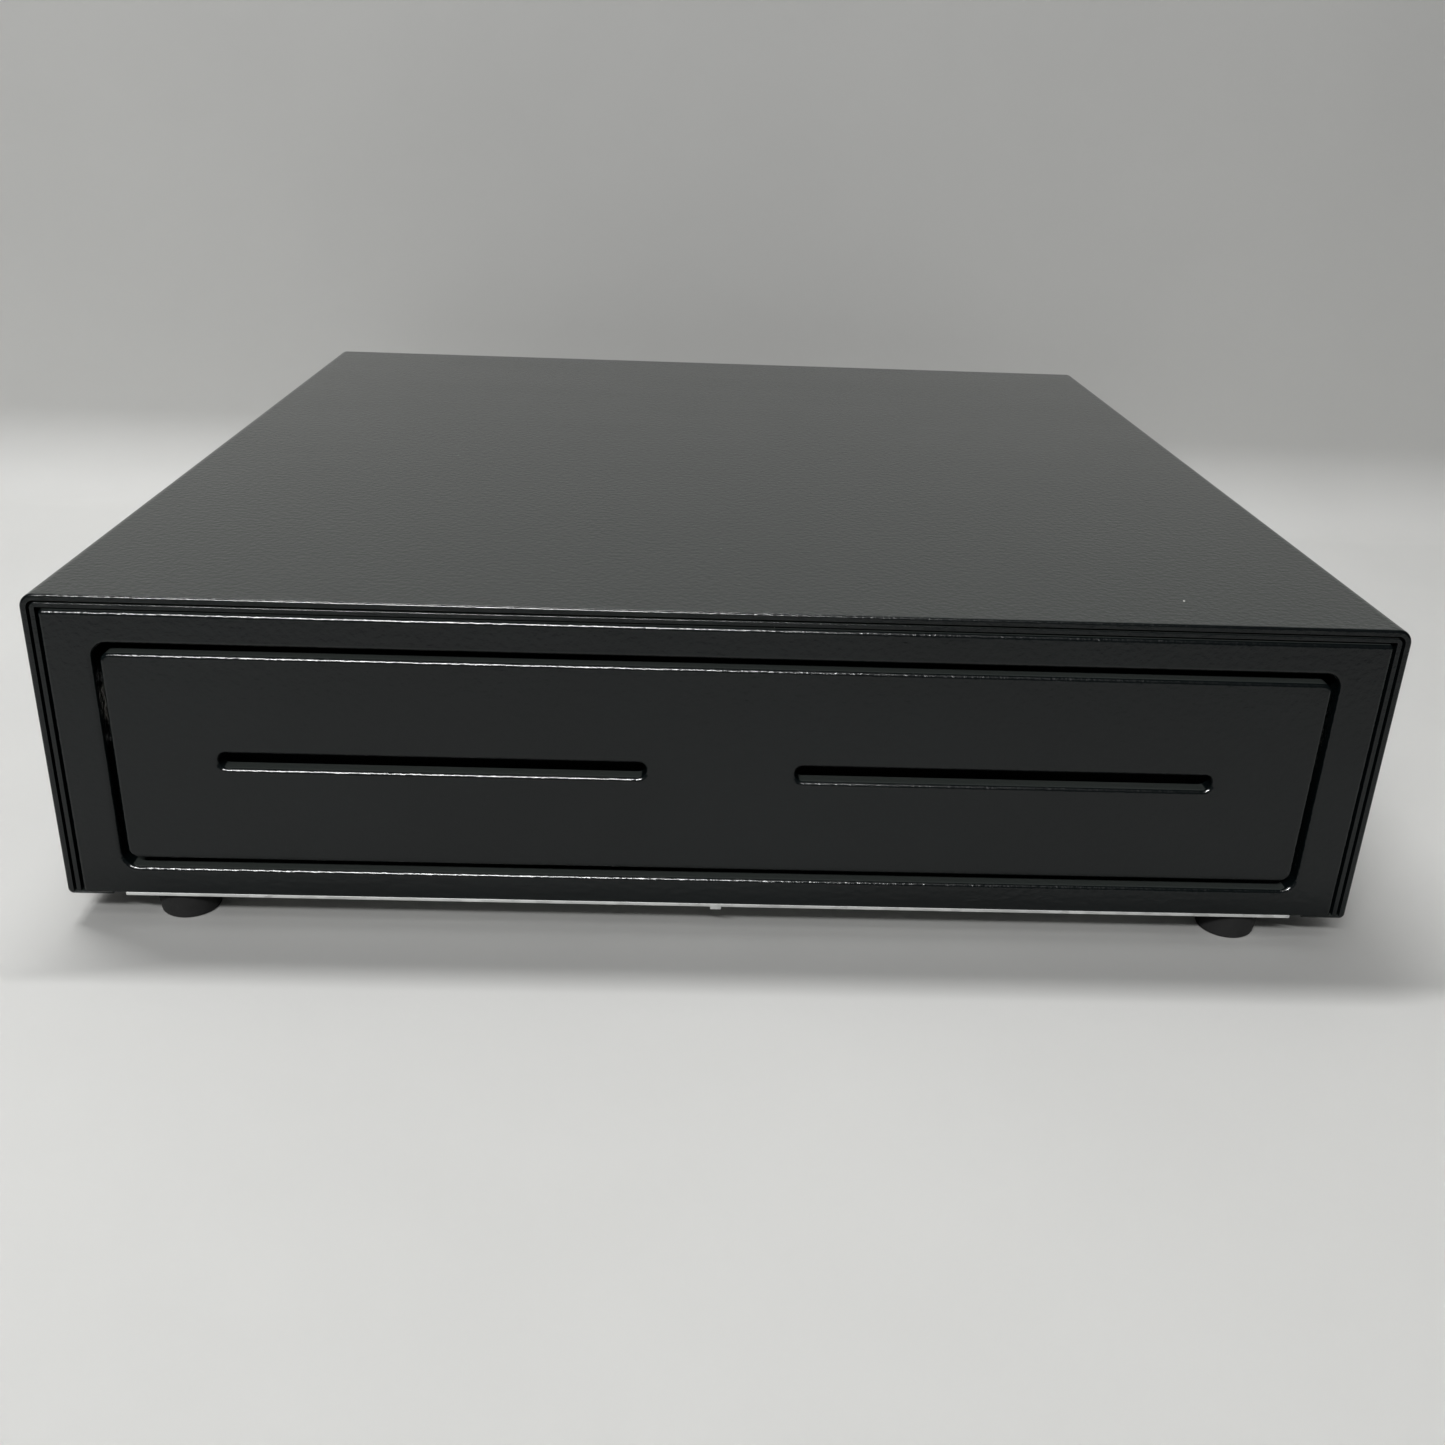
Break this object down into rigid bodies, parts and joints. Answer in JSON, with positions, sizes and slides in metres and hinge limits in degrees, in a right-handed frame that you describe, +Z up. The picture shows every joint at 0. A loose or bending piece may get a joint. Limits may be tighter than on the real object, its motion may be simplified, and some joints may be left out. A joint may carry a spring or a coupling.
{
  "type": "cash drawer",
  "caption": "Low steel cash drawer on rubber feet: roller-borne drawer with media slots, till with bill bays and coin cups, electric latch.",
  "frame": {"origin": "middle of the footprint, on the plane that the feet stand on", "axes": "+X to the user's right, the drawer opens towards -Y, +Z up"},
  "size_m": [0.41, 0.415, 0.11],
  "materials": {
    "black_paint": "semi-gloss black powder coat with a fine orange-peel texture",
    "tray_paint": "matt black powder coat",
    "zinc_steel": "bare zinc-coated sheet",
    "fastener_steel": "zinc-plated, satin",
    "nickel_steel": "nickel-plated, bright",
    "foot_rubber": "matt black rubber",
    "nylon": "natural white nylon",
    "till_plastic": "fine-textured black ABS",
    "cup_plastic": "dark grey ABS, satin inside",
    "coil_tape": "amber coil tape",
    "switch_plastic": "black phenolic",
    "socket_plastic": "black polycarbonate"
  },
  "bodies": {
    "cabinet": {"cabinet_shell": "black_paint", "front_frame": "black_paint", "front_bezel": "black_paint", "base_pan": "zinc_steel", "rear_panel": "black_paint", "rear_screws": "fastener_steel", "rear_nuts": "fastener_steel", "rubber_feet": "foot_rubber", "foot_screws": "fastener_steel", "foot_nuts": "fastener_steel", "rail_bracket_left": "zinc_steel", "rail_bracket_right": "zinc_steel", "roller_track_left": "zinc_steel", "roller_track_right": "zinc_steel", "front_axles": "fastener_steel", "stop_bumpers": "foot_rubber", "latch_bracket": "zinc_steel", "latch_pin": "fastener_steel", "solenoid_frame": "zinc_steel", "solenoid_coil": "coil_tape", "plunger_spring": "nickel_steel", "drawer_switch": "switch_plastic", "ejector_housing": "fastener_steel", "ejector_spring": "nickel_steel", "cable_socket": "socket_plastic"},
    "drawer": {"drawer_front": "black_paint", "drawer_tray": "tray_paint", "drawer_rail_left": "zinc_steel", "drawer_rail_right": "zinc_steel", "rear_axles": "fastener_steel", "front_nuts": "fastener_steel", "media_guide": "tray_paint", "till_ledges": "zinc_steel", "till_tray": "till_plastic", "bill_divider_1": "till_plastic", "bill_divider_2": "till_plastic", "bill_divider_3": "till_plastic", "bill_divider_4": "till_plastic", "coin_cup_1": "cup_plastic", "coin_cup_2": "cup_plastic", "coin_cup_3": "cup_plastic", "coin_cup_4": "cup_plastic", "coin_cup_5": "cup_plastic", "clip_rod": "nickel_steel", "clip_springs": "nickel_steel", "striker": "fastener_steel"},
    "front_roller_left": {"front_roller_left": "nylon"},
    "front_roller_right": {"front_roller_right": "nylon"},
    "rear_roller_left": {"rear_roller_left": "nylon"},
    "rear_roller_right": {"rear_roller_right": "nylon"},
    "bill_clip_1": {"bill_clip_1": "nickel_steel"},
    "bill_clip_2": {"bill_clip_2": "nickel_steel"},
    "bill_clip_3": {"bill_clip_3": "nickel_steel"},
    "bill_clip_4": {"bill_clip_4": "nickel_steel"},
    "bill_clip_5": {"bill_clip_5": "nickel_steel"},
    "latch_hook": {"latch_hook": "fastener_steel"},
    "solenoid_plunger": {"solenoid_plunger": "fastener_steel"},
    "switch_lever": {"switch_lever": "fastener_steel"},
    "ejector_pin": {"ejector_pin": "fastener_steel"}
  },
  "joints": [
    {"name": "drawer_slide", "type": "slide", "parent": "cabinet", "child": "drawer", "axis": [0, -1, 0], "range_m": [0, 0.31]},
    {"name": "front_roller_left_spin", "type": "hinge", "parent": "cabinet", "child": "front_roller_left", "pos_m": [-0.1826, -0.186, 0.0693], "axis": [1, 0, 0], "continuous": true},
    {"name": "front_roller_right_spin", "type": "hinge", "parent": "cabinet", "child": "front_roller_right", "pos_m": [0.1826, -0.186, 0.0693], "axis": [1, 0, 0], "continuous": true},
    {"name": "rear_roller_left_spin", "type": "hinge", "parent": "drawer", "child": "rear_roller_left", "pos_m": [-0.1826, 0.15, 0.0701], "axis": [1, 0, 0], "continuous": true},
    {"name": "rear_roller_right_spin", "type": "hinge", "parent": "drawer", "child": "rear_roller_right", "pos_m": [0.1826, 0.15, 0.0701], "axis": [1, 0, 0], "continuous": true},
    {"name": "bill_clip_1_lift", "type": "hinge", "parent": "drawer", "child": "bill_clip_1", "pos_m": [-0.1388, 0.142, 0.075], "axis": [-1, 0, 0], "range_deg": [0, 45], "stiffness_Nm_per_rad": 0.03, "springref_deg": -34.38},
    {"name": "bill_clip_2_lift", "type": "hinge", "parent": "drawer", "child": "bill_clip_2", "pos_m": [-0.0694, 0.142, 0.075], "axis": [-1, 0, 0], "range_deg": [0, 45], "stiffness_Nm_per_rad": 0.03, "springref_deg": -34.38},
    {"name": "bill_clip_3_lift", "type": "hinge", "parent": "drawer", "child": "bill_clip_3", "pos_m": [0, 0.142, 0.075], "axis": [-1, 0, 0], "range_deg": [0, 45], "stiffness_Nm_per_rad": 0.03, "springref_deg": -34.38},
    {"name": "bill_clip_4_lift", "type": "hinge", "parent": "drawer", "child": "bill_clip_4", "pos_m": [0.0694, 0.142, 0.075], "axis": [-1, 0, 0], "range_deg": [0, 45], "stiffness_Nm_per_rad": 0.03, "springref_deg": -34.38},
    {"name": "bill_clip_5_lift", "type": "hinge", "parent": "drawer", "child": "bill_clip_5", "pos_m": [0.1388, 0.142, 0.075], "axis": [-1, 0, 0], "range_deg": [0, 45], "stiffness_Nm_per_rad": 0.03, "springref_deg": -34.38},
    {"name": "latch_hook_swing", "type": "hinge", "parent": "cabinet", "child": "latch_hook", "pos_m": [0.009, 0.196, 0.045], "axis": [0, 0, -1], "range_deg": [0, 20]},
    {"name": "solenoid_plunger_stroke", "type": "slide", "parent": "cabinet", "child": "solenoid_plunger", "axis": [-1, 0, 0], "range_m": [0, 0.0048], "deforming": ["plunger_spring"]},
    {"name": "switch_lever_press", "type": "hinge", "parent": "cabinet", "child": "switch_lever", "pos_m": [0.078, 0.17, 0.037], "axis": [0, 0, 1], "range_deg": [0, 6], "stiffness_Nm_per_rad": 0.002, "springref_deg": -17.19},
    {"name": "ejector_press", "type": "slide", "parent": "cabinet", "child": "ejector_pin", "axis": [0, 1, 0], "range_m": [0, 0.006], "stiffness_N_per_m": 300, "springref_m": -0.02, "deforming": ["ejector_spring"]}
  ],
  "couplings": [
    {"joint": "front_roller_left_spin", "follows": "drawer_slide", "rad_per_m": 111.11},
    {"joint": "front_roller_right_spin", "follows": "drawer_slide", "rad_per_m": 111.11},
    {"joint": "rear_roller_left_spin", "follows": "drawer_slide", "rad_per_m": 102.04},
    {"joint": "rear_roller_right_spin", "follows": "drawer_slide", "rad_per_m": 102.04},
    {"joint": "solenoid_plunger_stroke", "follows": "latch_hook_swing", "m_per_rad": 0.013722}
  ]
}
